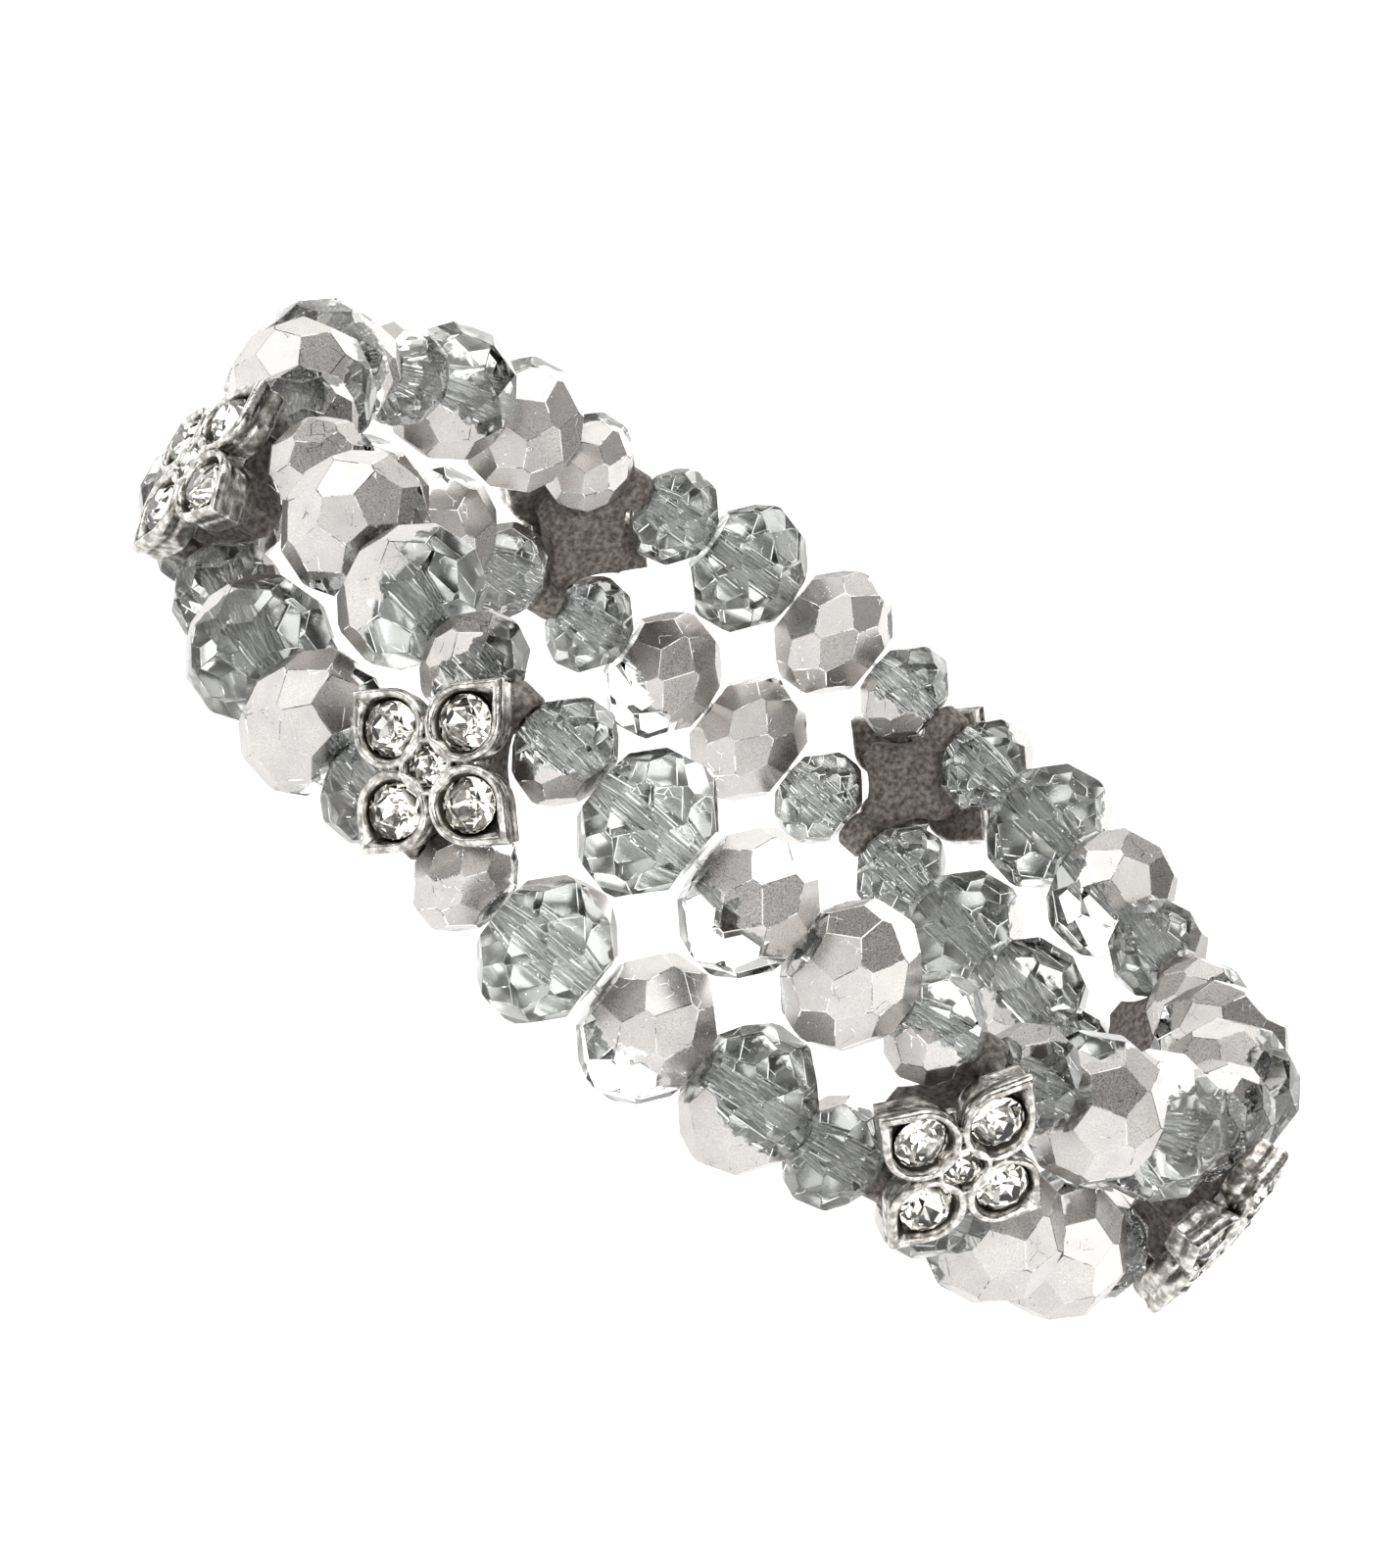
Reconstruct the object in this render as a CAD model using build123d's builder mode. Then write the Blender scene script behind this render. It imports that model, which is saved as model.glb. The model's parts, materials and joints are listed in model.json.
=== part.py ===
"""Two-row stretch bracelet: faceted rondelle beads and eight cast flower spacers on two elastic cords.

The band is a circle round +Z. The origin is on the ring's axis at the height of its lowest beads, -Y is
the front, and the angle along the band grows from the front towards +X. In the frame of each piece on
the band, x runs along the cord, y is up and z points outwards, away from the wrist.
"""

from build123d import *
import os
from math import atan2, cos, degrees, pi, radians, sin, tan

# ---- driving dimensions, in millimetres and degrees ----------------------------------------------

# one letter for each column of two beads: F flower spacer, S small beads, L large beads
columns = "FSLLLS" + 7 * "FSLLS"
first_flower_angle = -20.1      # of the first flower spacer, from the front

large_diameter = 8.0
large_pitch = 6.3               # cord taken up by one large bead
large_land = 1.9                # radius of the flat drilled ends
small_diameter = 6.0
small_pitch = 4.6
small_land = 1.45
row_pitch = 8.2                 # between the two cords
end_gap = 0.12                  # between neighbours on the cord, at the inner side of the ring

bead_sides = 8                  # facets in each of the four rows of a bead
girdle_tilt = 14.0              # slope of the two girdle rows
shoulder_share = 0.48           # where the girdle row meets the end row, as a share of the half width
bore_diameter = 1.5
spin_step = 137.5               # each bead is turned this much further than the last

cord_diameter = 0.8
knot_diameter = 1.24
knot_length = 1.4
cord_arc = 359.0                # the two ends of each cord stop inside its knot

spacer_pitch = 2.0
eyelet_radius = 1.2             # of the two drilled eyelets at the back of the flower
web_base = -0.3                 # wrist side of the web behind the flower, outwards from the cords
web_reach = 2.9                 # of its two points along the band
web_hollow = (1.5, 1.6)         # middle of each of its hollow sides, which clear the small beads
web_point = 1.1                 # width of its four points
cup_base = 2.8                  # underside of the cups, outwards from the cords
cup_top = 4.9                   # highest point of the flower, at its centre
dome_radius = 26.0              # of the shallow dome that the rims follow

petal_reach = 5.6               # from the flower's centre to a petal's tip
petal_stone_reach = 2.85        # from the flower's centre to a petal's stone
petal_radius = 2.0
petal_rim = 0.42
tip_rim = 0.92                  # of rim beyond the point of a petal's recess
centre_radius = 1.45
centre_rim = 0.38
petal_floor = 4.15              # floor of a petal's recess, outwards from the cords
centre_floor = 4.40
petal_stone_diameter = 2.8
centre_stone_diameter = 2.0
seat_clearance = 0.03

stone_table_share = 0.55        # of the stone's radius
stone_crown = 0.21              # height of each part, as a share of the diameter
stone_girdle = 0.04
stone_pavilion = 0.34

# ---- sizes that follow ---------------------------------------------------------------------------

pitch_of = {"F": spacer_pitch, "S": small_pitch, "L": large_pitch}
band_radius = sum(pitch_of[kind] for kind in columns) / (2 * pi)
lower_height = large_diameter / 2
upper_height = lower_height + row_pitch
middle_height = lower_height + row_pitch / 2
rows = {"upper": upper_height, "lower": lower_height}


def column_angles():
    """The angle of each column along the band, from the front."""
    angles, travelled = [], -pitch_of[columns[0]] / 2
    for kind in columns:
        travelled += pitch_of[kind] / 2
        angles.append(first_flower_angle + degrees(travelled / band_radius))
        travelled += pitch_of[kind] / 2
    return angles


def band_plane(angle, height):
    """The frame of a piece on the band: x along the cord, y up, z outwards."""
    a = radians(angle)
    outwards = Vector(sin(a), -cos(a), 0)
    centre = outwards * band_radius + Vector(0, 0, height)
    return Plane(origin=centre, x_dir=(cos(a), sin(a), 0), z_dir=outwards)


def width_between(pitch, reach):
    """The length along the cord of a piece whose ends reach this far towards the wrist."""
    return pitch * (1 - reach / band_radius) - end_gap


def save(piece, name):
    piece.label = name
    export_step(piece, f"parts/{name}.step")


# ---- beads ---------------------------------------------------------------------------------------


def facet_row(along, radius, tilt, half_step):
    """Planes of one row of facets: they pass at this radius at the position along the cord."""
    planes = []
    for side in range(bead_sides):
        azimuth = radians((side + half_step / 2) * 360 / bead_sides)
        across = Vector(0, cos(azimuth), sin(azimuth))
        normal = across * cos(radians(tilt)) + Vector(sin(radians(tilt)), 0, 0)
        planes.append(Plane(origin=across * radius + Vector(along, 0, 0), z_dir=normal))
    return planes


def bead_facets(diameter, width, land):
    """All facet planes of a rondelle, drilled along x."""
    girdle = diameter / 2 * cos(pi / (2 * bead_sides)) ** 2
    shoulder = width / 2 * shoulder_share
    shoulder_radius = girdle - shoulder * tan(radians(girdle_tilt))
    end_tilt = degrees(atan2(shoulder_radius - land, width / 2 - shoulder))
    planes = []
    for side, half_step in ((1, 0), (-1, 1)):
        planes += facet_row(0, girdle, side * girdle_tilt, half_step)
        planes += facet_row(side * width / 2, land, side * end_tilt, 1 - half_step)
    return planes


def make_bead(diameter, pitch, land):
    """A faceted rondelle at the origin, drilled along x."""
    width = width_between(pitch, land)
    with BuildPart() as bead:
        Cylinder(diameter / 2, width, rotation=(0, 90, 0))
        for plane in bead_facets(diameter, width, land):
            split(bisect_by=plane, keep=Keep.BOTTOM)
        Cylinder(bore_diameter / 2, width, rotation=(0, 90, 0), mode=Mode.SUBTRACT)
    return bead.part


def strung(bead, angle, height, spin):
    """A copy of the bead at its place on the cord, turned about the cord."""
    with BuildPart() as piece:
        with Locations(band_plane(angle, height).location * Rotation(spin, 0, 0)):
            add(bead)
    return piece.part


# ---- flower spacers ------------------------------------------------------------------------------


def petal_outline(radius, reach):
    """A teardrop on the x axis: a round cup with straight sides that run out to a point."""
    spread = radius / (reach - petal_stone_reach)
    touch = Vector(spread, (1 - spread**2) ** 0.5) * radius
    with Locations((petal_stone_reach, 0)):
        Circle(radius)
        Polygon((touch.X, touch.Y), (0, 0), (touch.X, -touch.Y),
                (reach - petal_stone_reach, 0), align=None)


def flower_outline():
    """The four petals, two along the band and two across it, and the cup in the middle."""
    with PolarLocations(0, 4):
        petal_outline(petal_radius, petal_reach)
    Circle(centre_radius)


def make_spacer(angle):
    """One cast spacer: two eyelets for the cords, a star-shaped web and five cups."""
    place = band_plane(angle, middle_height)
    across = Plane(place.origin, x_dir=place.y_dir, z_dir=place.x_dir)
    eyelet_width = width_between(spacer_pitch, eyelet_radius)
    with BuildPart() as spacer:
        with BuildSketch(across):
            with GridLocations(row_pitch, 0, 2, 1):
                Circle(eyelet_radius)
        extrude(amount=eyelet_width / 2, both=True)
        with BuildSketch(place.offset(web_base)):
            with BuildLine():
                Line((0, row_pitch / 2), (web_point / 2, row_pitch / 2))
                ThreePointArc((web_point / 2, row_pitch / 2), web_hollow, (web_reach, web_point / 2))
                Line((web_reach, web_point / 2), (web_reach, 0))
                mirror(about=Plane.XZ)
                mirror(about=Plane.YZ)
            make_face()
        extrude(amount=cup_base - web_base)
        with BuildSketch(place.offset(cup_base)):
            flower_outline()
        extrude(amount=cup_top - cup_base)
        with Locations(place.offset(cup_top - dome_radius)):
            Sphere(dome_radius, mode=Mode.INTERSECT)
        with BuildSketch(place.offset(petal_floor)):
            with PolarLocations(0, 4):
                petal_outline(petal_radius - petal_rim, petal_reach - tip_rim)
            Circle(centre_radius, mode=Mode.SUBTRACT)
        extrude(amount=cup_top, mode=Mode.SUBTRACT)
        with BuildSketch(place.offset(centre_floor)):
            Circle(centre_radius - centre_rim)
        extrude(amount=cup_top, mode=Mode.SUBTRACT)
        with BuildSketch(place.offset(petal_floor)):
            with PolarLocations(petal_stone_reach, 4):
                Circle(petal_stone_diameter / 2 + seat_clearance)
        extrude(amount=-stone_pavilion * petal_stone_diameter, mode=Mode.SUBTRACT)
        with BuildSketch(place.offset(centre_floor)):
            Circle(centre_stone_diameter / 2 + seat_clearance)
        extrude(amount=-stone_pavilion * centre_stone_diameter, mode=Mode.SUBTRACT)
        with BuildSketch(across):
            with GridLocations(row_pitch, 0, 2, 1):
                Circle(bore_diameter / 2)
        extrude(amount=spacer_pitch, both=True, mode=Mode.SUBTRACT)
    return spacer.part


def make_stone(diameter):
    """A round brilliant with its girdle's lower edge on the XY plane."""
    radius = diameter / 2
    with BuildPart() as stone:
        with BuildSketch(Plane.XZ):
            with BuildLine():
                Polyline(
                    (0, -stone_pavilion * diameter),
                    (radius, 0),
                    (radius, stone_girdle * diameter),
                    (radius * stone_table_share, (stone_girdle + stone_crown) * diameter),
                    (0, (stone_girdle + stone_crown) * diameter),
                    close=True,
                )
            make_face()
        revolve(axis=Axis.Z)
    return stone.part


def make_stones(angle):
    """The five rhinestones of one spacer, as separate solids."""
    place = band_plane(angle, middle_height)
    with BuildPart() as stones:
        with Locations(place.offset(petal_floor)):
            with PolarLocations(petal_stone_reach, 4):
                add(petal_stone)
        with Locations(place.offset(centre_floor)):
            add(centre_stone)
    return stones.part


# ---- elastic cords -------------------------------------------------------------------------------


def make_cord(height, knot_angle):
    """One loop of elastic, with the knot that joins its ends inside a spacer's channel."""
    knot = band_plane(knot_angle, height)
    cord_end = band_plane(knot_angle + (360 - cord_arc) / 2, height)
    with BuildPart() as cord:
        with BuildSketch(Plane(cord_end.origin, x_dir=cord_end.z_dir, z_dir=cord_end.x_dir)):
            Circle(cord_diameter / 2)
        revolve(axis=Axis.Z, revolution_arc=cord_arc)
        with BuildSketch(Plane(knot.origin, x_dir=knot.x_dir, z_dir=knot.y_dir)):
            with BuildLine():
                ThreePointArc((-knot_length / 2, 0), (0, knot_diameter / 2), (knot_length / 2, 0))
                Line((knot_length / 2, 0), (-knot_length / 2, 0))
            make_face()
        revolve(axis=Axis(knot.origin, knot.x_dir))
    return cord.part


# ---- the bracelet --------------------------------------------------------------------------------

os.makedirs("parts", exist_ok=True)

large_bead = make_bead(large_diameter, large_pitch, large_land)
small_bead = make_bead(small_diameter, small_pitch, small_land)
petal_stone = make_stone(petal_stone_diameter)
centre_stone = make_stone(centre_stone_diameter)

angles = column_angles()
flowers = [n for n, kind in enumerate(columns) if kind == "F"]
large_columns = [n for n, kind in enumerate(columns) if kind == "L"]
knot_spacer = flowers[-2]       # the knots are at the back, inside this spacer

for number, column in enumerate(flowers, start=1):
    save(make_spacer(angles[column]), f"spacer_{number}_casting")
    save(make_stones(angles[column]), f"spacer_{number}_rhinestones")
    with BuildPart() as small_beads:
        for side in (-1, 1):
            for row, height in rows.items():
                beside = (column + side) % len(columns)
                angle = angles[beside] - (360 if beside > column + 1 else 0)
                spin = spin_step * (2 * beside + (row == "lower"))
                add(strung(small_bead, angle, height, spin))
    save(small_beads.part, f"spacer_{number}_small_beads")

for number, column in enumerate(large_columns, start=1):
    for row, height in rows.items():
        spin = spin_step * (2 * column + (row == "lower"))
        save(strung(large_bead, angles[column], height, spin), f"{row}_bead_{number:02d}")

for row, height in rows.items():
    save(make_cord(height, angles[knot_spacer]), f"elastic_{row}")

print(f"band radius {band_radius:.2f}, inside diameter {2 * band_radius - large_diameter:.1f} mm")
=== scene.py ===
"""Two-row stretch bracelet: half-silvered cut glass rondelles, antique silver flower spacers set with
rhinestones, and two clear elastic cords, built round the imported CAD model."""

import json
import random
from math import acos, atan2, cos, degrees, hypot, pi, radians, sin, tan

import bmesh
import bpy
from mathutils import Matrix, Vector

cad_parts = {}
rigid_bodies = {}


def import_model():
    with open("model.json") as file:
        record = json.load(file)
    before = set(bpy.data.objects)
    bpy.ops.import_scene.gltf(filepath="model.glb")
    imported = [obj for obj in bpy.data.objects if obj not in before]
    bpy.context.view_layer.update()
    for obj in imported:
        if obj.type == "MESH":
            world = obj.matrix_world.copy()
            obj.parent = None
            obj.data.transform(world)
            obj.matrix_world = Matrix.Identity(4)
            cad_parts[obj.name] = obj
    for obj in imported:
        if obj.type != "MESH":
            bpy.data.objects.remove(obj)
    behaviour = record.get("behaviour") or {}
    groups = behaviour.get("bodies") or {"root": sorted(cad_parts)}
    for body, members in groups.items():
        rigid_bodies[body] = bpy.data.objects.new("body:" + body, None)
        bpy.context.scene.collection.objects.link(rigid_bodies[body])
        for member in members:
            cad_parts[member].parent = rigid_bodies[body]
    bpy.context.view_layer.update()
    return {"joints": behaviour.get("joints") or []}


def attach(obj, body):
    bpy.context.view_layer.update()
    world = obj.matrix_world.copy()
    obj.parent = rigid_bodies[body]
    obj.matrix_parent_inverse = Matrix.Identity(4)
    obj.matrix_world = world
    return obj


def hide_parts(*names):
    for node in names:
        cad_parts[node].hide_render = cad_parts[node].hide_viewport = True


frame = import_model()

# ---- sizes in millimetres and degrees, the same as the CAD model's --------------------------------

MM = 0.001
columns = "FSLLLS" + 7 * "FSLLS"    # F flower spacer, S small beads, L large beads
spacer_pitch = 2.0
end_gap = 0.12
bead_sides = 8
girdle_tilt = 14.0
shoulder_share = 0.48
bore_radius = 0.75
spin_step = 137.5

eyelet_radius = 1.2
web_base = -0.3
web_reach = 2.9
web_hollow = (1.5, 1.6)
web_point = 1.1
cup_base = 2.8
cup_top = 4.9
dome_radius = 26.0
petal_reach = 5.6
petal_stone_reach = 2.85
petal_radius = 2.0
centre_radius = 1.45
petal_floor = 4.15
centre_floor = 4.40
petal_stone_diameter = 2.8
centre_stone_diameter = 2.0
seat_clearance = 0.03
stone_table_share = 0.55
stone_crown = 0.21
stone_girdle = 0.04
stone_pavilion = 0.34

# each kind of bead, by its letter in columns: diameter, pitch along the cord, radius of the drilled end
BEADS = {"L": (8.0, 6.3, 1.9), "S": (6.0, 4.6, 1.45)}

# ---- the band, from the record's joints -----------------------------------------------------------

joints = {joint["name"]: joint for joint in frame["joints"]}
first_upper = Vector(joints["spin_upper_bead_01"]["pos_m"]) / MM
first_lower = Vector(joints["spin_lower_bead_01"]["pos_m"]) / MM
band_radius = hypot(first_upper.x, first_upper.y)
heights = {"upper": first_upper.z, "lower": first_lower.z}
row_pitch = heights["upper"] - heights["lower"]
middle_height = (heights["upper"] + heights["lower"]) / 2


def angle_of(vector):
    """The angle along the band of a point or a direction, from the front."""
    return degrees(atan2(vector[0], -vector[1]))


def band_matrix(angle, height):
    """The frame of a piece on the band, in millimetres: x along the cord, y up, z outwards."""
    a = radians(angle)
    along = Vector((cos(a), sin(a), 0))
    outwards = Vector((sin(a), -cos(a), 0))
    centre = outwards * band_radius + Vector((0, 0, height))
    axes = Matrix((along, Vector((0, 0, 1)), outwards)).transposed()
    return Matrix.Translation(centre) @ axes.to_4x4()


def spacer_angles():
    """The angle of each flower spacer, from the axis that it moves out along."""
    names = ["band_stretch"] + [f"stretch_spacer_{n}" for n in range(2, 9)]
    return [angle_of(joints[name]["axis"]) for name in names]


def width_between(pitch, reach):
    """The length along the cord of a piece whose ends reach this far towards the wrist."""
    return pitch * (1 - reach / band_radius) - end_gap


# ---- small tools ----------------------------------------------------------------------------------


def mesh_object(name, bm, matrix, material, smooth=False):
    """An object at the origin whose mesh is the millimetre bmesh put in place, in metres."""
    bm.transform(Matrix.Scale(MM, 4) @ matrix)
    mesh = bpy.data.meshes.new(name)
    bm.to_mesh(mesh)
    bm.free()
    mesh.materials.append(material)
    if smooth:
        mesh.shade_smooth()
    else:
        mesh.shade_flat()
    piece = bpy.data.objects.new(name, mesh)
    bpy.context.scene.collection.objects.link(piece)
    return piece


def evaluated(piece):
    """The mesh of a scratch object with its modifiers applied; the object is removed."""
    graph = bpy.context.evaluated_depsgraph_get()
    mesh = bpy.data.meshes.new_from_object(piece.evaluated_get(graph))
    bpy.data.objects.remove(piece)
    return mesh


def cut_by(bm, point, normal):
    """Cuts away what lies beyond a plane, and closes the cut."""
    geometry = bm.verts[:] + bm.edges[:] + bm.faces[:]
    cut = bmesh.ops.bisect_plane(
        bm, geom=geometry, dist=1e-5, plane_co=point, plane_no=normal, clear_outer=True)
    edges = [part for part in cut["geom_cut"] if isinstance(part, bmesh.types.BMEdge)]
    bmesh.ops.edgeloop_fill(bm, edges=edges)


def loop_of(bm, points):
    """A closed loop of edges through points."""
    verts = [bm.verts.new(point) for point in points]
    return [bm.edges.new((verts[n - 1], verts[n])) for n in range(len(verts))]


# ---- materials ------------------------------------------------------------------------------------


def node(tree, kind, sockets=None, **settings):
    """A shader node with its settings and its sockets, each linked or given a value."""
    made = tree.nodes.new("ShaderNode" + kind)
    for name, value in settings.items():
        setattr(made, name, value)
    for socket, value in (sockets or {}).items():
        if isinstance(value, bpy.types.NodeSocket):
            tree.links.new(value, made.inputs[socket])
        else:
            made.inputs[socket].default_value = value
    return made


def sums(tree, operation, first, second, clamp=False):
    """A math node of two values."""
    made = node(tree, "Math", {0: first, 1: second}, operation=operation, use_clamp=clamp)
    return made.outputs[0]


def ramp(tree, value, low, high, to_low=0.0, to_high=1.0):
    """Maps a value from one range to another, smoothly and clamped."""
    made = node(
        tree, "MapRange", {0: value, 1: low, 2: high, 3: to_low, 4: to_high},
        interpolation_type="SMOOTHSTEP")
    return made.outputs[0]


def mixed(tree, factor, first, second):
    """A mix of two colours."""
    made = node(tree, "Mix", {0: factor, 6: first, 7: second}, data_type="RGBA")
    return made.outputs[2]


def grain(tree, place, size, detail=2.0, distortion=0.0):
    """Noise whose features are about size millimetres across, from 0 to 1."""
    made = node(
        tree, "TexNoise",
        {"Vector": place, "Scale": 1 / (size * MM), "Detail": detail, "Distortion": distortion})
    return made.outputs["Fac"]


def cells(tree, place, size, feature):
    """Distances in a pattern of cells about size millimetres across."""
    made = node(
        tree, "TexVoronoi", {"Vector": place, "Scale": 1 / (size * MM)}, feature=feature)
    return made.outputs["Distance"]


def new_material(name):
    """A material with a Principled shader, its node tree and the object's own coordinates."""
    material = bpy.data.materials.new(name)
    material.use_nodes = True
    tree = material.node_tree
    shader = tree.nodes["Principled BSDF"]
    place = node(tree, "TexCoord").outputs["Object"]
    return material, tree, shader, place


def attribute(tree, name):
    """A mesh attribute's value."""
    return node(tree, "Attribute", attribute_name=name).outputs["Fac"]


def half_silvered_glass():
    """Cut glass with a vacuum silvered side: a mirror from inside the glass and satin from
    outside, crackled, speckled and worn off the facet edges."""
    material, tree, shader, place = new_material("half_silvered_glass")
    ragged = sums(tree, "MULTIPLY", sums(tree, "SUBTRACT", grain(tree, place, 0.9, 4.0), 0.5), 0.7)
    side = sums(tree, "ADD", attribute(tree, "coat"), ragged)
    silvered = ramp(tree, side, -0.05, 0.05)

    blotches = grain(tree, place, 1.6, 3.0)
    crack_lines = ramp(tree, cells(tree, place, 1.1, "DISTANCE_TO_EDGE"), 0.0, 0.025, 1.0, 0.0)
    cracks = sums(tree, "MULTIPLY", crack_lines, ramp(tree, blotches, 0.55, 0.62))
    pits = ramp(tree, cells(tree, place, 0.34, "F1"), 0.10, 0.14, 1.0, 0.0)
    pits = sums(tree, "MULTIPLY", pits, ramp(tree, grain(tree, place, 1.1), 0.55, 0.62))
    rubbed = sums(tree, "MULTIPLY", attribute(tree, "edge"), ramp(tree, blotches, 0.46, 0.56))
    bare = sums(tree, "MAXIMUM", sums(tree, "MAXIMUM", cracks, pits), rubbed)
    silvered = sums(tree, "MULTIPLY", silvered, sums(tree, "SUBTRACT", 1.0, bare), clamp=True)

    speckle = grain(tree, place, 0.07, 3.0)
    satin = mixed(
        tree, ramp(tree, speckle, 0.30, 0.70), (0.50, 0.478, 0.464, 1), (0.70, 0.673, 0.655, 1))
    satin = mixed(tree, ramp(tree, blotches, 0.35, 0.75), satin, (0.53, 0.510, 0.498, 1))
    mirror = mixed(tree, speckle, (0.62, 0.625, 0.615, 1), (0.84, 0.845, 0.832, 1))
    inside = node(tree, "NewGeometry").outputs["Backfacing"]
    silver = mixed(tree, inside, satin, mirror)
    glass = mixed(tree, grain(tree, place, 3.0), (0.905, 0.918, 0.907, 1), (0.957, 0.965, 0.957, 1))
    tree.links.new(mixed(tree, silvered, glass, silver), shader.inputs["Base Color"])
    tree.links.new(silvered, shader.inputs["Metallic"])
    shader.inputs["IOR"].default_value = 1.56
    shader.inputs["Transmission Weight"].default_value = 1.0

    satin_roughness = ramp(tree, speckle, 0.3, 0.7, 0.24, 0.36)
    kept_roughness = sums(tree, "SUBTRACT", 1.0, sums(tree, "MULTIPLY", inside, 0.6))
    coat_roughness = sums(tree, "MULTIPLY", satin_roughness, kept_roughness)
    bore_roughness = sums(
        tree, "MULTIPLY", attribute(tree, "ground"), ramp(tree, speckle, 0.3, 0.7, 0.0, 0.02))
    roughness = sums(tree, "ADD", sums(tree, "MULTIPLY", silvered, coat_roughness), bore_roughness)
    tree.links.new(roughness, shader.inputs["Roughness"])
    return material


def antique_silver():
    """Cast white metal: polished rims, dark patina in the recesses, a lumpy cast skin."""
    material, tree, shader, place = new_material("antique_silver")
    cloud = grain(tree, place, 0.8, 4.0)
    skin = grain(tree, place, 0.22, 4.0, 0.5)
    depth = sums(tree, "ADD", attribute(tree, "patina"), ramp(tree, cloud, 0.3, 0.7, -0.2, 0.2))
    tarnish = ramp(tree, depth, 0.15, 0.85)
    bright = mixed(
        tree, ramp(tree, grain(tree, place, 0.45, 4.0), 0.35, 0.65), (0.30, 0.28, 0.26, 1),
        (0.74, 0.72, 0.69, 1))
    dark = mixed(tree, cloud, (0.030, 0.026, 0.022, 1), (0.11, 0.098, 0.086, 1))
    raw = mixed(
        tree, ramp(tree, grain(tree, place, 0.3, 5.0), 0.25, 0.75), (0.13, 0.115, 0.106, 1),
        (0.40, 0.368, 0.346, 1))
    rough_side = sums(tree, "ADD", attribute(tree, "raw"), ramp(tree, cloud, 0.3, 0.7, -0.2, 0.2))
    unpolished = ramp(tree, rough_side, 0.3, 0.7)
    polished = mixed(tree, tarnish, bright, dark)
    tree.links.new(mixed(tree, unpolished, polished, raw), shader.inputs["Base Color"])
    shader.inputs["Metallic"].default_value = 1.0
    polished_roughness = sums(
        tree, "ADD", ramp(tree, tarnish, 0.0, 1.0, 0.14, 0.45), ramp(tree, skin, 0.3, 0.7, 0.0, 0.1))
    roughness = sums(tree, "ADD", polished_roughness, sums(tree, "MULTIPLY", unpolished, 0.32))
    tree.links.new(roughness, shader.inputs["Roughness"])
    lumps = sums(tree, "MULTIPLY", skin, sums(tree, "ADD", 0.14, unpolished))
    bump = node(tree, "Bump", {"Height": lumps, "Strength": 0.6, "Distance": 0.2 * MM})
    tree.links.new(bump.outputs["Normal"], shader.inputs["Normal"])
    return material


def rhinestone():
    """Clear chaton glass with a foil behind its pavilion."""
    material, tree, shader, place = new_material("rhinestone")
    speckle = grain(tree, place, 0.12, 3.0)
    foil = mixed(tree, ramp(tree, speckle, 0.3, 0.7), (0.93, 0.91, 0.86, 1), (0.99, 0.98, 0.95, 1))
    glass = mixed(tree, grain(tree, place, 1.5), (0.975, 0.975, 0.965, 1), (0.995, 0.99, 0.98, 1))
    backed = ramp(tree, attribute(tree, "coat"), -0.05, 0.05)
    shader.inputs["IOR"].default_value = 1.60
    shader.inputs["Transmission Weight"].default_value = 1.0
    tree.links.new(mixed(tree, backed, glass, foil), shader.inputs["Base Color"])
    tree.links.new(backed, shader.inputs["Metallic"])
    tree.links.new(
        sums(tree, "MULTIPLY", backed, ramp(tree, speckle, 0.3, 0.7, 0.005, 0.02)),
        shader.inputs["Roughness"])
    return material


def clear_elastic():
    """Fine clear strands, a little milky where they have been stretched."""
    material, tree, shader, place = new_material("clear_elastic")
    milk = grain(tree, place, 1.2, 3.0)
    tree.links.new(
        mixed(tree, milk, (0.90, 0.915, 0.91, 1), (0.99, 0.99, 0.985, 1)),
        shader.inputs["Base Color"])
    tree.links.new(ramp(tree, milk, 0.3, 0.7, 0.0, 0.06), shader.inputs["Roughness"])
    shader.inputs["IOR"].default_value = 1.50
    shader.inputs["Transmission Weight"].default_value = 0.8
    return material


def floor_paint():
    """The pale floor, very faintly mottled, glowing like a light table that fades into a darker room."""
    material, tree, shader, place = new_material("floor_paint")
    mottle = grain(tree, place, 40.0, 3.0)
    tree.links.new(
        mixed(tree, mottle, (0.40, 0.40, 0.40, 1), (0.43, 0.43, 0.43, 1)),
        shader.inputs["Base Color"])
    tree.links.new(ramp(tree, mottle, 0.3, 0.7, 0.7, 0.8), shader.inputs["Roughness"])
    shader.inputs["Emission Color"].default_value = (1, 1, 1, 1)
    distance = node(tree, "VectorMath", {0: place}, operation="LENGTH").outputs["Value"]
    lighting = ramp(tree, distance, 0.1, 0.8, 1.0, 0.4)
    seen = node(tree, "LightPath").outputs["Is Camera Ray"]
    glow = sums(tree, "MAXIMUM", sums(tree, "MULTIPLY", seen, 0.9), lighting)
    tree.links.new(glow, shader.inputs["Emission Strength"])
    return material


# ---- beads ----------------------------------------------------------------------------------------


def facet_row(bm, along, radius, tilt, half_step, chance):
    """One row of facets: planes that pass at this radius at the position along the cord."""
    for side in range(bead_sides):
        azimuth = radians((side + half_step / 2) * 360 / bead_sides + chance.uniform(-1.3, 1.3))
        slope = radians(tilt + chance.uniform(-1.4, 1.4))
        across = Vector((0, cos(azimuth), sin(azimuth)))
        point = across * (radius - chance.uniform(0, 0.06)) + Vector((along, 0, 0))
        cut_by(bm, point, across * cos(slope) + Vector((sin(slope), 0, 0)))


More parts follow.
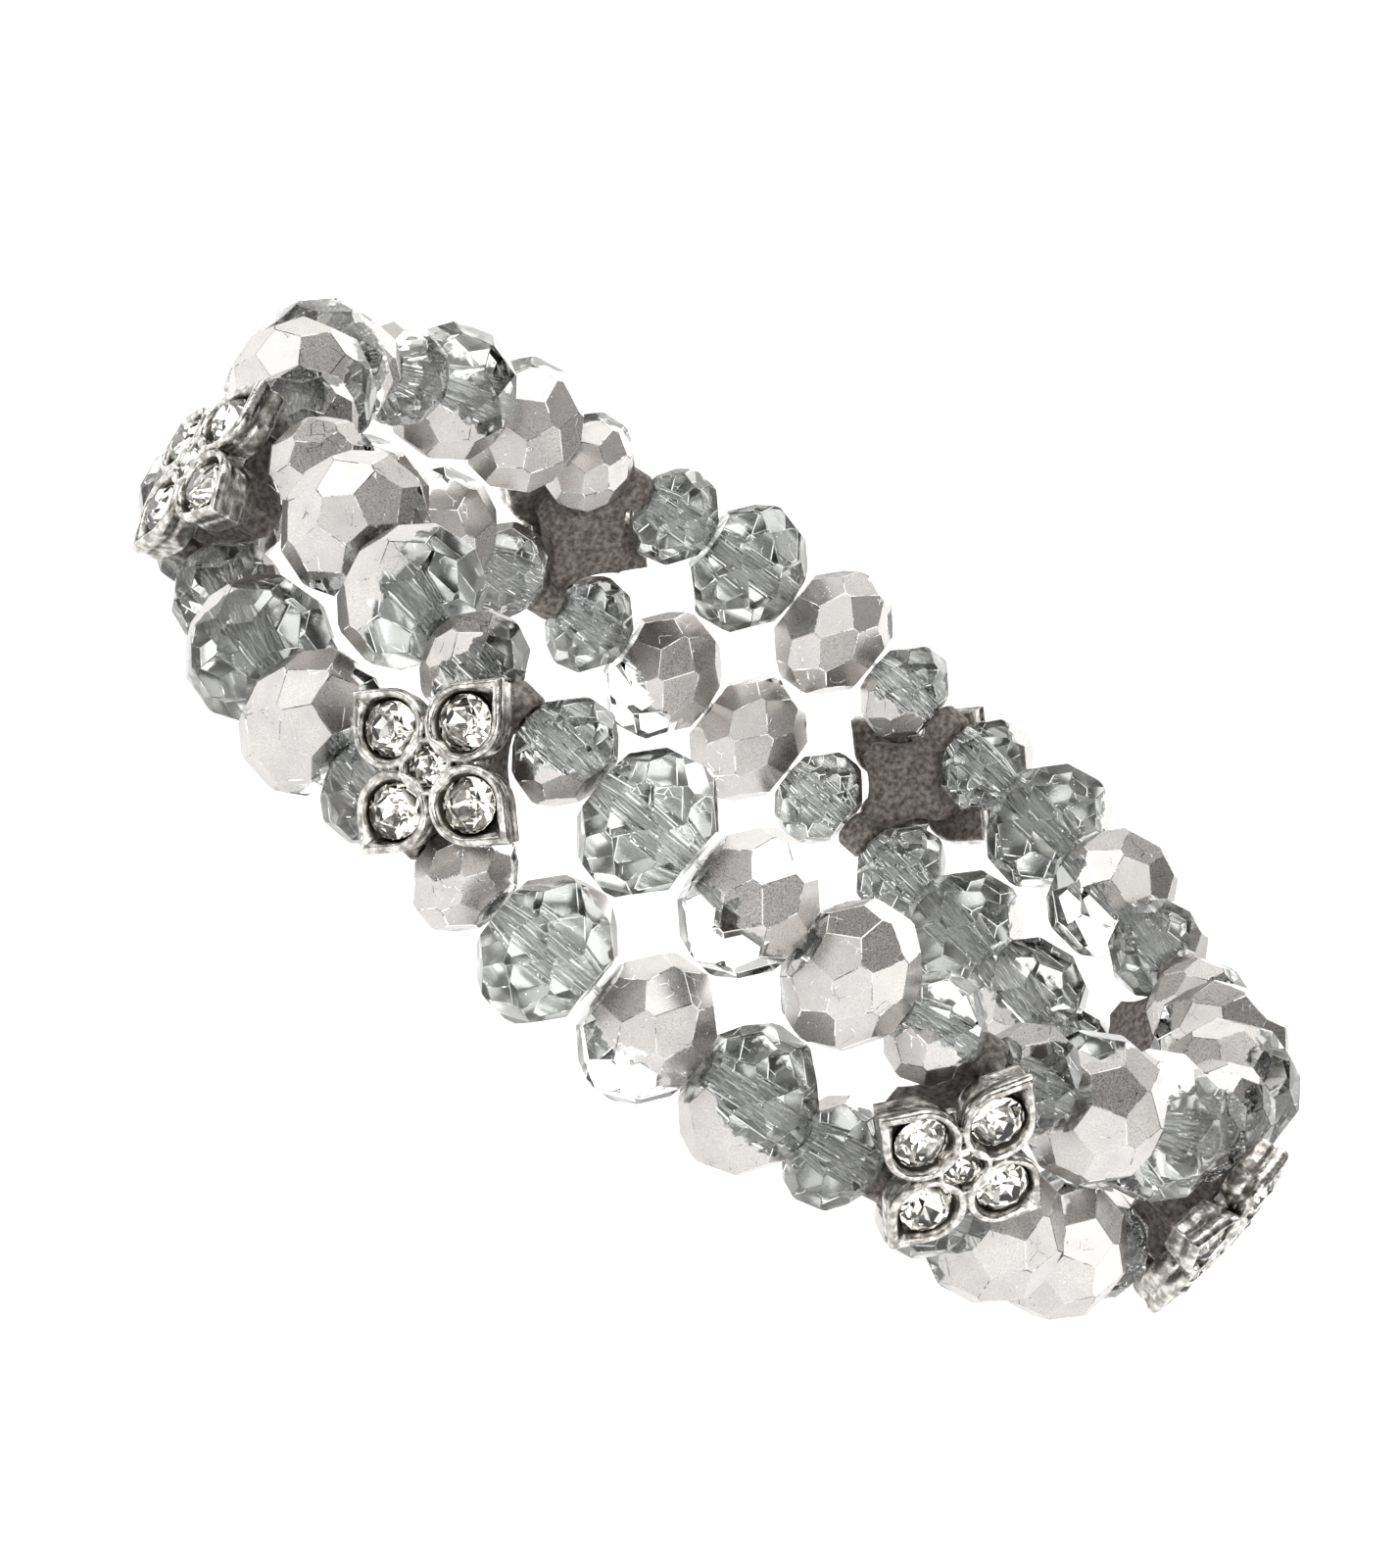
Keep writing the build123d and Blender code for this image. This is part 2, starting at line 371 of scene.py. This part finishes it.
def bore_through(bm, width, chance):
    """Drills the bead along x, with a small chamfer at each end and the uneven lines of the drill."""
    chamfer = 0.16
    points = 36
    circle = [Vector((0, cos(t), sin(t))) for t in (2 * pi * n / points for n in range(points))]
    flutes = [p * (bore_radius - 0.06 * (n % 2) - chance.uniform(0, 0.03)) for n, p in enumerate(circle)]
    inner = []
    for end in (-1, 1):
        plate = max(bm.faces, key=lambda face: end * face.calc_center_median().x)
        rim = list(plate.edges)
        bmesh.ops.delete(bm, geom=[plate], context="FACES_ONLY")
        x = Vector((end * width / 2, 0, 0))
        mouth = loop_of(bm, [x + p * (bore_radius + chamfer) for p in circle])
        throat = loop_of(bm, [x * (1 - chamfer / (width / 2)) + p for p in flutes])
        bmesh.ops.bridge_loops(bm, edges=rim + mouth)
        bmesh.ops.bridge_loops(bm, edges=mouth + throat)
        inner += throat
    return bmesh.ops.bridge_loops(bm, edges=inner)["faces"]


def cut_bead(kind, coat_side, chance):
    """A cut and drilled rondelle along x, silvered on the side that coat_side points to."""
    diameter, pitch, land = BEADS[kind]
    width = width_between(pitch, land)
    girdle = diameter / 2 * cos(pi / (2 * bead_sides)) ** 2
    shoulder = width / 2 * shoulder_share
    shoulder_radius = girdle - shoulder * tan(radians(girdle_tilt))
    end_tilt = degrees(atan2(shoulder_radius - land, width / 2 - shoulder))

    bm = bmesh.new()
    bmesh.ops.create_cube(bm, size=1, matrix=Matrix.Diagonal((width, diameter, diameter, 1)))
    for side, half_step in ((1, 0), (-1, 1)):
        facet_row(bm, 0, girdle, side * girdle_tilt, half_step, chance)
        facet_row(bm, side * width / 2, land, side * end_tilt, 1 - half_step, chance)
    edge = bm.faces.layers.float.new("edge")
    ground = bm.faces.layers.float.new("ground")
    normals = [face.normal.copy() for face in bm.faces]
    bmesh.ops.bevel(bm, geom=bm.edges[:], offset=0.03, segments=1, affect="EDGES")
    bm.normal_update()
    for face in bm.faces:
        face[edge] = 0.0 if any(face.normal.dot(normal) > 0.9999 for normal in normals) else 1.0
    for face in bore_through(bm, width, chance):
        face[ground] = 1.0
    bmesh.ops.recalc_face_normals(bm, faces=bm.faces[:])

    coat = bm.loops.layers.float.new("coat")
    for face in bm.faces:
        for corner in face.loops:
            place = corner.vert.co / (diameter / 2)
            corner[coat] = -2.0 if face[ground] else place.dot(coat_side)
    return bm


# ---- flower spacers -------------------------------------------------------------------------------

CUP_POINTS = 64
VOXEL = 0.06                    # of the remesh that fuses a casting's parts
KEPT_SHARE = 0.16               # of the remeshed casting's faces that are kept


def teardrop_reach(radius, reach, angle):
    """How far a teardrop goes from its round part's centre, at an angle from its point."""
    side = acos(min(1.0, radius / reach))
    off = abs((angle + pi) % (2 * pi) - pi)
    return radius / cos(max(0.0, side - off))


def domed(height, x, y):
    """A height of the flower's top, lowered as the shallow dome falls away from the centre."""
    return height - (x * x + y * y) / (2 * dome_radius)


def stack(bm, loops, matrix):
    """A closed skin through loops of as many points each, from its underside to its top."""
    rings = [[bm.verts.new(matrix @ Vector(point)) for point in loop] for loop in loops]
    for lower, upper in zip(rings, rings[1:]):
        for n in range(len(lower)):
            bm.faces.new((lower[n - 1], lower[n], upper[n], upper[n - 1]))
    bm.faces.new(list(reversed(rings[0])))
    bm.faces.new(rings[-1])


def add_cup(bm, place, turn, profile):
    """A bowl: teardrop loops of (radius, reach, height), out from the flower's centre by place."""
    loops = []
    for radius, reach, height in profile:
        loop = []
        for n in range(CUP_POINTS):
            angle = 2 * pi * n / CUP_POINTS
            distance = teardrop_reach(radius, reach, angle)
            x, y = place + distance * cos(angle), distance * sin(angle)
            loop.append((x, y, domed(height, x, y)))
        loops.append(loop)
    stack(bm, loops, Matrix.Rotation(turn, 4, "Z"))


def petal_profile():
    """A petal cup from its underside, over its thick rim, down to its stone's seat."""
    tip = petal_reach - petal_stone_reach
    seat = petal_stone_diameter / 2 + seat_clearance
    pavilion = stone_pavilion * petal_stone_diameter
    r, top, floor = petal_radius, cup_top, petal_floor + 0.16
    return [
        (r - 0.42, tip - 0.50, cup_base + 0.02), (r - 0.26, tip - 0.30, cup_base + 0.14),
        (r - 0.16, tip - 0.14, cup_base + 0.5), (r - 0.12, tip - 0.06, top - 1.1),
        (r - 0.18, tip - 0.12, top - 0.86), (r - 0.06, tip + 0.02, top - 0.64),
        (r + 0.02, tip + 0.14, top - 0.4), (r + 0.02, tip + 0.14, top - 0.18),
        (r - 0.05, tip + 0.04, top - 0.02), (r - 0.17, tip - 0.14, top + 0.05),
        (r - 0.31, tip - 0.36, top + 0.01), (r - 0.42, tip - 0.56, top - 0.12),
        (r - 0.46, tip - 0.84, top - 0.32), (r - 0.50, tip - 1.10, floor),
        (seat, seat, floor - 0.02), (seat, seat, floor - 0.16),
        (seat * 0.55, seat * 0.55, floor - pavilion * 0.55), (0.2, 0.2, floor - pavilion),
    ]


def centre_profile():
    """The round cup in the middle, the same way."""
    seat = centre_stone_diameter / 2 + seat_clearance
    pavilion = stone_pavilion * centre_stone_diameter
    r, top, floor = centre_radius, cup_top, centre_floor
    sizes = [
        (r - 0.2, cup_base + 0.08), (r - 0.1, top - 1.2), (r + 0.02, top - 0.3), (r - 0.01, top - 0.09),
        (r - 0.1, top + 0.05), (r - 0.24, top + 0.02), (r - 0.34, top - 0.2), (seat + 0.02, floor + 0.05),
        (seat, floor - 0.02), (seat * 0.55, floor - pavilion * 0.5), (0.2, floor - pavilion),
    ]
    return [(radius, radius, height) for radius, height in sizes]


def rounded_box(bm, low, high, rounding):
    """A box with bevelled edges between two corners."""
    low, high = Vector(low), Vector(high)
    size = Matrix.Diagonal((high - low).to_4d())
    size[3][3] = 1
    made = bmesh.ops.create_cube(bm, size=1, matrix=Matrix.Translation((low + high) / 2) @ size)
    edges = list({edge for vert in made["verts"] for edge in vert.link_edges})
    bmesh.ops.bevel(bm, geom=edges, offset=rounding, segments=3, affect="EDGES", profile=0.5)


def add_web(bm):
    """The web behind the flower: a star with four hollow sides and rounded edges."""
    end, up = web_point / 2, row_pitch / 2 - bore_radius - 0.1
    hollow = Vector(web_hollow)
    first, last = Vector((end, up)), Vector((web_reach, end))
    control = 2 * hollow - (first + last) / 2
    quarter = []
    for n in range(9):
        t = n / 8
        quarter.append(first * (1 - t) ** 2 + control * 2 * t * (1 - t) + last * t**2)
    outline = [(v.x, v.y) for v in reversed(quarter)] + [(-v.x, v.y) for v in quarter]
    outline += [(-v.x, -v.y) for v in reversed(quarter)] + [(v.x, -v.y) for v in quarter]
    rounded = ((0.86, web_base), (0.96, web_base + 0.12), (1.0, web_base + 0.4), (1.0, cup_base + 0.3))
    stack(bm, [[(x * k, y * k, z) for x, y in outline] for k, z in rounded], Matrix.Identity(4))


def add_eyelet(bm, height, width, outer):
    """A thick rounded ring round one cord."""
    rounding = 0.28
    section = [
        (-width / 2, bore_radius + 0.1), (-width / 2 + 0.1, bore_radius),
        (width / 2 - 0.1, bore_radius), (width / 2, bore_radius + 0.1),
        (width / 2, outer - rounding), (width / 2 - rounding, outer),
        (-width / 2 + rounding, outer), (-width / 2, outer - rounding),
    ]
    steps = 40
    rings = []
    for n in range(steps):
        t = 2 * pi * n / steps
        rings.append([bm.verts.new((x, height + r * cos(t), r * sin(t))) for x, r in section])
    for n in range(steps):
        for m in range(len(section)):
            bm.faces.new((rings[n - 1][m - 1], rings[n - 1][m], rings[n][m], rings[n][m - 1]))


def casting_parts():
    """The overlapping closed parts of one casting, in the band's frame at its middle height."""
    bm = bmesh.new()
    for quarter in range(4):
        add_cup(bm, petal_stone_reach, quarter * pi / 2, petal_profile())
    add_cup(bm, 0, 0, centre_profile())
    hub_sizes = (
        (2.2, cup_base), (2.7, cup_base + 0.12), (2.6, cup_base + 0.5), (2.2, cup_base + 1.0),
        (1.7, cup_base + 1.15), (1.35, cup_base + 0.65))
    hub = [[(radius * cos(t), radius * sin(t), z) for t in (2 * pi * n / 40 for n in range(40))]
           for radius, z in hub_sizes]
    stack(bm, hub, Matrix.Identity(4))
    add_web(bm)
    width = width_between(spacer_pitch, eyelet_radius)
    for side in (-1, 1):
        add_eyelet(bm, side * row_pitch / 2, width, eyelet_radius)
        strap = bore_radius + 0.12
        rounded_box(
            bm, (-web_point / 2, side * row_pitch / 2 - 0.55, strap),
            (web_point / 2, side * row_pitch / 2 + 0.55, cup_base + 0.2), 0.15)
    bmesh.ops.recalc_face_normals(bm, faces=bm.faces[:])
    return bm


def in_recess(x, y):
    """True inside the rim of a petal or of the centre cup."""
    if hypot(x, y) < centre_radius - 0.15:
        return True
    u, v = max(abs(x), abs(y)), min(abs(x), abs(y))
    angle = atan2(v, u - petal_stone_reach)
    inner = teardrop_reach(petal_radius - 0.25, petal_reach - petal_stone_reach - 0.38, angle)
    return hypot(u - petal_stone_reach, v) < inner and hypot(x, y) > centre_radius


def patina_at(vert):
    """How dark the metal is at a vertex: deep in a recess, low on a wall, or in a corner."""
    x, y, z = vert.co
    depth = domed(cup_top, x, y) - z
    ways = [(edge.other_vert(vert).co - vert.co).normalized() for edge in vert.link_edges]
    corner = sum(way.dot(vert.normal) for way in ways) / max(1, len(ways))
    if depth < 0.95 and in_recess(x, y):
        dark = 0.2 + 2.0 * (depth - 0.15)
    else:
        dark = 0.24 + 0.14 * depth
    return min(1.0, max(0.0, dark + 3.2 * corner))


def casting_mesh():
    """One casting: its parts fused, softened like a cast and thinned to the faces that its shape needs."""
    piece = bpy.data.objects.new("casting_parts", bpy.data.meshes.new("casting_parts"))
    bpy.context.scene.collection.objects.link(piece)
    parts = casting_parts()
    parts.to_mesh(piece.data)
    parts.free()
    fuse = piece.modifiers.new("fuse", "REMESH")
    fuse.mode = "VOXEL"
    fuse.voxel_size = VOXEL
    soften = piece.modifiers.new("soften", "SMOOTH")
    soften.factor = 0.5
    soften.iterations = 3
    thin = piece.modifiers.new("thin", "DECIMATE")
    thin.ratio = KEPT_SHARE
    mesh = evaluated(piece)
    bm = bmesh.new()
    bm.from_mesh(mesh)
    bpy.data.meshes.remove(mesh)
    patina = bm.verts.layers.float.new("patina")
    raw = bm.verts.layers.float.new("raw")
    bm.normal_update()
    for vert in bm.verts:
        vert[patina] = patina_at(vert)
        underside = 0.2 * max(0.0, -vert.normal.z)
        behind_cups = (cup_base - vert.co.z) / 0.3
        vert[raw] = min(1.0, max(underside, behind_cups))
    return bm


# ---- rhinestones ----------------------------------------------------------------------------------


def cone_cuts(bm, count, turn, radius, height, slope):
    """Facets round a stone, each through (radius, height) and sloping back by slope, in degrees."""
    for n in range(count):
        angle = 2 * pi * (n + turn) / count
        radial = Vector((cos(angle), sin(angle), 0))
        normal = radial * cos(radians(slope)) + Vector((0, 0, sin(radians(slope))))
        cut_by(bm, radial * radius + Vector((0, 0, height)), normal)


def cut_stone(diameter):
    """A chaton: table, star, main and break facets over a foiled eight-sided pavilion."""
    radius = diameter / 2
    flat = radius * cos(pi / 16)
    crown, girdle, depth = (share * diameter for share in (stone_crown, stone_girdle, stone_pavilion))
    table = radius * stone_table_share
    crown_slope = degrees(atan2(radius - table, crown))
    pavilion_slope = -degrees(atan2(radius, depth))
    bm = bmesh.new()
    bmesh.ops.create_cube(bm, size=2 * diameter)
    cone_cuts(bm, 16, 0, flat, 0, 0)
    cut_by(bm, Vector((0, 0, girdle + crown)), Vector((0, 0, 1)))
    cone_cuts(bm, 8, 0, flat, girdle, crown_slope)
    cone_cuts(bm, 8, 0.5, flat, girdle, crown_slope - 9)
    cone_cuts(bm, 8, 0.5, table * cos(pi / 8), girdle + crown, crown_slope + 14)
    cone_cuts(bm, 8, 0, flat, 0, pavilion_slope)
    cone_cuts(bm, 8, 0.5, flat, 0, pavilion_slope + 7)
    bmesh.ops.recalc_face_normals(bm, faces=bm.faces[:])
    coat = bm.loops.layers.float.new("coat")
    for face in bm.faces:
        for corner in face.loops:
            corner[coat] = 1.0 if face.normal.z < -0.1 else -1.0
    return bm


# ---- elastic cords --------------------------------------------------------------------------------

TAIL = 5.3                      # of strand past a station's last bead, inside the next station's bead
STRAND_SIDES = 8
BUNDLES = ((5, 0.31, 0.10), (3, 0.12, 0.11))    # strands, radius of the bundle, radius of a strand
STRAND_TURN = 25.0              # degrees of twist for each degree along the band
KNOT_SPACER = 7                 # the knots are at the back, inside this spacer
KNOT_TURNS = 4
KNOT_LENGTH = 1.1
KNOT_RADIUS = 0.51              # of the line that the winding strand follows
KNOT_STRAND = 0.11              # the radius of that strand


def add_strand(bm, start, end, bundle_radius, turn, radius):
    """One strand, twisting slowly about the cord's line, in degrees along the band."""
    steps = max(2, round((end - start) / 0.8))
    loops = []
    for n in range(steps + 1):
        angle = start + (end - start) * n / steps
        place = band_matrix(angle, 0)
        twist = radians(turn + STRAND_TURN * angle)
        centre = Vector((0, bundle_radius * cos(twist), bundle_radius * sin(twist)))
        around = (2 * pi * side / STRAND_SIDES for side in range(STRAND_SIDES))
        loops.append([place @ (centre + Vector((0, cos(t), sin(t))) * radius) for t in around])
    stack(bm, loops, Matrix.Identity(4))


def strands(start, end, bundle):
    """A bundle of strands along the band."""
    count, bundle_radius, radius = bundle
    bm = bmesh.new()
    for n in range(count):
        add_strand(bm, start, end, bundle_radius, 360 * n / count, radius)
    bmesh.ops.recalc_face_normals(bm, faces=bm.faces[:])
    return bm


def wound_knot():
    """The knot that joins a cord's ends, along x: a strand wound tightly round the bundle."""
    steps = 20 * KNOT_TURNS
    loops = []
    for n in range(steps + 1):
        t = 2 * pi * KNOT_TURNS * n / steps
        away = Vector((0, cos(t), sin(t)))
        centre = away * KNOT_RADIUS + Vector((KNOT_LENGTH * (n / steps - 0.5), 0, 0))
        around = (2 * pi * side / STRAND_SIDES for side in range(STRAND_SIDES))
        loops.append([centre + (away * cos(a) + Vector((sin(a), 0, 0))) * KNOT_STRAND for a in around])
    bm = bmesh.new()
    stack(bm, loops, Matrix.Identity(4))
    bmesh.ops.recalc_face_normals(bm, faces=bm.faces[:])
    return bm


def station_ends(number):
    """The angles at which a spacer's own beads end, before and after it."""
    middle = angles[number - 1]
    half_bead = degrees(BEADS["L"][1] / 2 / band_radius)
    offsets = [
        (angle_of(joint["pos_m"]) - middle + 180) % 360 - 180 for joint in frame["joints"]
        if joint["name"].startswith("spin_upper") and joint["parent"] == f"spacer_{number}_group"]
    return middle + min(offsets) - half_bead, middle + max(offsets) + half_bead


# ---- the bracelet ---------------------------------------------------------------------------------

glass_material = half_silvered_glass()
silver_material = antique_silver()
stone_material = rhinestone()
elastic_material = clear_elastic()

pitch_of = {"F": spacer_pitch, "S": BEADS["S"][1], "L": BEADS["L"][1]}
flower_columns = [n for n, kind in enumerate(columns) if kind == "F"]
large_columns = [n for n, kind in enumerate(columns) if kind == "L"]
angles = spacer_angles()

# the side of each bead that is silvered, one letter a column: Outwards, Inwards, Up, Down,
# towards the Next bead or the one Before
SIDES = {
    "O": (0, 0, 1), "I": (0, 0, -1), "U": (0, 1, 0), "D": (0, -1, 0), "N": (1, 0, 0), "B": (-1, 0, 0),
}
silvered_sides = {
    "upper": ".DIUOD.IOII.IIUI.OUOO.DIOO.IIDO.IBOI.OOBB",
    "lower": ".OIUDI.IOOI.IOII.ODOO.OIUO.OIIO.IOBI.IBOI",
}


def coat_direction(row, column, chance):
    """A unit vector towards the middle of a bead's silvered side, in the band's frame."""
    letter = silvered_sides[row][column]
    wanted = Vector(SIDES[letter])
    wobble = Vector((chance.uniform(-1, 1), chance.uniform(-1, 1), chance.uniform(-1, 1)))
    return (wanted + 0.3 * wobble).normalized()


def bead_bmesh(kind, row, column):
    """The bead of a row and column in the band's frame, turned about the cord like the CAD bead."""
    number = 2 * column + (row == "lower")
    chance = random.Random(number)
    spin = Matrix.Rotation(radians(spin_step * number), 4, "X")
    direction = coat_direction(row, column, chance)
    bm = cut_bead(kind, spin.inverted() @ direction, chance)
    bm.transform(spin)
    return bm


for number, column in enumerate(large_columns, start=1):
    for row, height in heights.items():
        name = f"{row}_bead_{number:02d}"
        angle = angle_of(joints["spin_" + name]["pos_m"])
        bead = mesh_object(
            "cut_" + name, bead_bmesh("L", row, column), band_matrix(angle, height), glass_material)
        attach(bead, name)
        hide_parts(name)

small_step = degrees((spacer_pitch + pitch_of["S"]) / 2 / band_radius)
for number, column in enumerate(flower_columns, start=1):
    for row, height in heights.items():
        for side, place in ((-1, "before"), (1, "after")):
            angle = angles[number - 1] + side * small_step
            bead = mesh_object(
                f"cut_{row}_small_bead_{place}_{number}",
                bead_bmesh("S", row, (column + side) % len(columns)),
                band_matrix(angle, height), glass_material)
            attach(bead, f"spacer_{number}_group")
            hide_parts(f"spacer_{number}_small_beads")

casting = casting_mesh()
stone_spots = [(0, 0, centre_floor, centre_stone_diameter)] + [
    (petal_stone_reach * cos(t), petal_stone_reach * sin(t), petal_floor, petal_stone_diameter)
    for t in (0, pi / 2, pi, 3 * pi / 2)]

for number in range(1, len(angles) + 1):
    place = band_matrix(angles[number - 1], middle_height)
    flower = mesh_object(f"cast_flower_{number}", casting.copy(), place, silver_material, smooth=True)
    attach(flower, f"spacer_{number}_group")
    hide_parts(f"spacer_{number}_casting")
    for spot, (x, y, floor_height, diameter) in enumerate(stone_spots):
        turn = Matrix.Rotation(random.Random(10 * number + spot).uniform(0, pi / 4), 4, "Z")
        seat = Matrix.Translation((x, y, floor_height))
        stone = mesh_object(
            f"cut_stone_{number}_{spot}", cut_stone(diameter), place @ seat @ turn, stone_material)
        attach(stone, f"spacer_{number}_group")
        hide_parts(f"spacer_{number}_rhinestones")
casting.free()

tail = degrees(TAIL / band_radius)
for number in range(1, len(angles) + 1):
    start, end = station_ends(number)
    for row, height in heights.items():
        cord = mesh_object(
            f"strands_{row}_{number}", strands(start - tail, end + tail, BUNDLES[number % 2]),
            Matrix.Translation((0, 0, height)), elastic_material, smooth=True)
        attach(cord, f"spacer_{number}_group")
        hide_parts(f"elastic_{row}")

for row, height in heights.items():
    knot = mesh_object(
        f"knot_{row}", wound_knot(), band_matrix(angles[KNOT_SPACER - 1], height), elastic_material,
        smooth=True)
    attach(knot, f"spacer_{KNOT_SPACER}_group")
    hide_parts(f"elastic_{row}")

# ---- floor, light and camera ----------------------------------------------------------------------

sheet = bmesh.new()
bmesh.ops.create_grid(sheet, x_segments=4, y_segments=4, size=4000)
floor = mesh_object("floor", sheet, Matrix.Identity(4), floor_paint())


def softbox(name, place, size, power):
    """A square area light that faces the bracelet."""
    lamp = bpy.data.lights.new(name, "AREA")
    lamp.shape = "SQUARE"
    lamp.size = size
    lamp.energy = power
    holder = bpy.data.objects.new(name, lamp)
    holder.location = place
    holder.rotation_mode = "QUATERNION"
    holder.rotation_quaternion = Vector(place).to_track_quat("Z", "Y")
    bpy.context.scene.collection.objects.link(holder)


softbox("top_softbox", (-0.15, 0.1, 0.6), 0.5, 0.9)
softbox("left_softbox", (-0.55, -0.25, 0.3), 0.35, 0.45)


def studio_world():
    """A grey room with soft light and dark panels for reflections, and plain white behind the floor."""
    world = bpy.data.worlds.new("studio")
    world.use_nodes = True
    tree = world.node_tree
    background = tree.nodes["Background"]
    direction = node(tree, "TexCoord").outputs["Generated"]
    panels = node(tree, "TexNoise", {"Vector": direction, "Scale": 1.7, "Detail": 1.0}).outputs["Fac"]
    room = mixed(
        tree, ramp(tree, panels, 0.40, 0.60), (0.03, 0.03, 0.03, 1), (2.25, 2.25, 2.22, 1))
    seen = node(tree, "LightPath").outputs["Is Camera Ray"]
    tree.links.new(mixed(tree, seen, room, (1, 1, 1, 1)), background.inputs["Color"])
    bpy.context.scene.world = world


studio_world()

view_elevation = radians(13.76)
view_roll = radians(38.74)
view_distance = 337.5 * MM
lens_length = 144.0
aim_right = 1.38 * MM           # the ring's centre stands this far right of and below the frame's centre
aim_down = 0.62 * MM


def make_camera():
    """The camera in front of the bracelet, a little above it and rolled."""
    camera = bpy.data.cameras.new("camera")
    camera.lens = lens_length
    level = Vector((1, 0, 0))
    upright = Vector((0, sin(view_elevation), cos(view_elevation)))
    back = level.cross(upright)
    right = level * cos(view_roll) + upright * sin(view_roll)
    up = upright * cos(view_roll) - level * sin(view_roll)
    holder = bpy.data.objects.new("camera", camera)
    target = Vector((0, 0, middle_height * MM)) - right * aim_right + up * aim_down
    holder.matrix_world = (
        Matrix.Translation(target + back * view_distance)
        @ Matrix((right, up, back)).transposed().to_4x4())
    bpy.context.scene.collection.objects.link(holder)
    bpy.context.scene.camera = holder


make_camera()
bpy.context.scene.view_settings.view_transform = "Standard"
